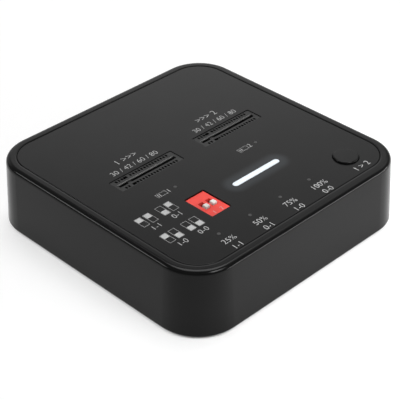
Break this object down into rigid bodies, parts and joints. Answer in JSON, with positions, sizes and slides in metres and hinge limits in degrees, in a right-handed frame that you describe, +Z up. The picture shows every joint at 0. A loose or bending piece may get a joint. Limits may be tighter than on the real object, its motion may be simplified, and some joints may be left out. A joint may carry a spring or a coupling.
{
  "type": "ssd docking station",
  "caption": "Flat square desk dock for bare drive cards, with upright card sockets, a slide switch, a push button and indicator lights in its top panel and ports at the back.",
  "frame": {"origin": "on the table under the middle of the case, at the feet's lower faces", "axes": "+X to the right, +Y to the back where the ports are, +Z up"},
  "size_m": [0.082, 0.082, 0.0206],
  "materials": {
    "case_black": "satin",
    "panel_black": "satin",
    "button_black": "satin",
    "cover_black": "matt",
    "tape_grey": "matt",
    "foot_rubber": "matt",
    "screw_steel": "satin",
    "board_green": "satin",
    "socket_black": "matt",
    "contact_gold": "polished",
    "switch_red": "satin",
    "switch_base_black": "matt",
    "lever_white": "satin",
    "terminal_tin": "satin",
    "light_pipe_clear": "gloss",
    "light_chip_white": "satin",
    "light_strip_white": "frosted, lit from below",
    "port_steel": "satin",
    "port_black": "satin",
    "chip_black": "matt",
    "inductor_grey": "matt",
    "capacitor_tan": "satin"
  },
  "bodies": {
    "case": {"top_housing": "case_black", "top_panel": "panel_black", "panel_tape": "tape_grey", "bottom_cover": "cover_black", "cover_screws": "screw_steel", "board_screws": "screw_steel", "main_board": "board_green", "slide_switch_cover": "switch_red", "slide_switch_base": "switch_base_black", "slide_switch_terminals": "terminal_tin", "push_switch_base": "switch_base_black", "push_switch_plate": "terminal_tin", "push_switch_dome": "terminal_tin", "push_switch_terminals": "terminal_tin", "light_strip": "light_strip_white", "light_strip_chips": "light_chip_white", "usb_c_shell": "port_steel", "usb_c_insert": "port_black", "usb_c_contacts": "contact_gold", "power_jack_body": "port_black", "power_jack_pin": "port_steel", "power_jack_spring": "port_steel", "control_chip": "chip_black", "power_inductors": "inductor_grey", "board_capacitors": "capacitor_tan", "foot_front_left": "foot_rubber", "foot_front_right": "foot_rubber", "foot_back_left": "foot_rubber", "foot_back_right": "foot_rubber", "m2_socket_1": "socket_black", "m2_contacts_1": "terminal_tin", "bridge_chip_1": "chip_black", "drive_light_1": "light_chip_white", "drive_light_pipe_1": "light_pipe_clear", "m2_socket_2": "socket_black", "m2_contacts_2": "terminal_tin", "bridge_chip_2": "chip_black", "drive_light_2": "light_chip_white", "drive_light_pipe_2": "light_pipe_clear", "progress_light_1": "light_chip_white", "progress_light_pipe_1": "light_pipe_clear", "progress_light_2": "light_chip_white", "progress_light_pipe_2": "light_pipe_clear", "progress_light_3": "light_chip_white", "progress_light_pipe_3": "light_pipe_clear", "progress_light_4": "light_chip_white", "progress_light_pipe_4": "light_pipe_clear"},
    "start_button": {"start_button": "button_black", "push_switch_plunger": "switch_base_black"},
    "slide_lever_1": {"slide_lever_1": "lever_white", "slide_wiper_1": "contact_gold"},
    "slide_lever_2": {"slide_lever_2": "lever_white", "slide_wiper_2": "contact_gold"}
  },
  "joints": [
    {"name": "start_button_press", "type": "slide", "parent": "case", "child": "start_button", "axis": [0, 0, -1], "range_m": [0, 0.00035], "stiffness_N_per_m": 1500, "deforming": ["push_switch_dome"]},
    {"name": "slide_lever_1_slide", "type": "slide", "parent": "case", "child": "slide_lever_1", "axis": [0, 1, 0], "range_m": [0, 0.0015]},
    {"name": "slide_lever_2_slide", "type": "slide", "parent": "case", "child": "slide_lever_2", "axis": [0, 1, 0], "range_m": [0, 0.0015]}
  ]
}
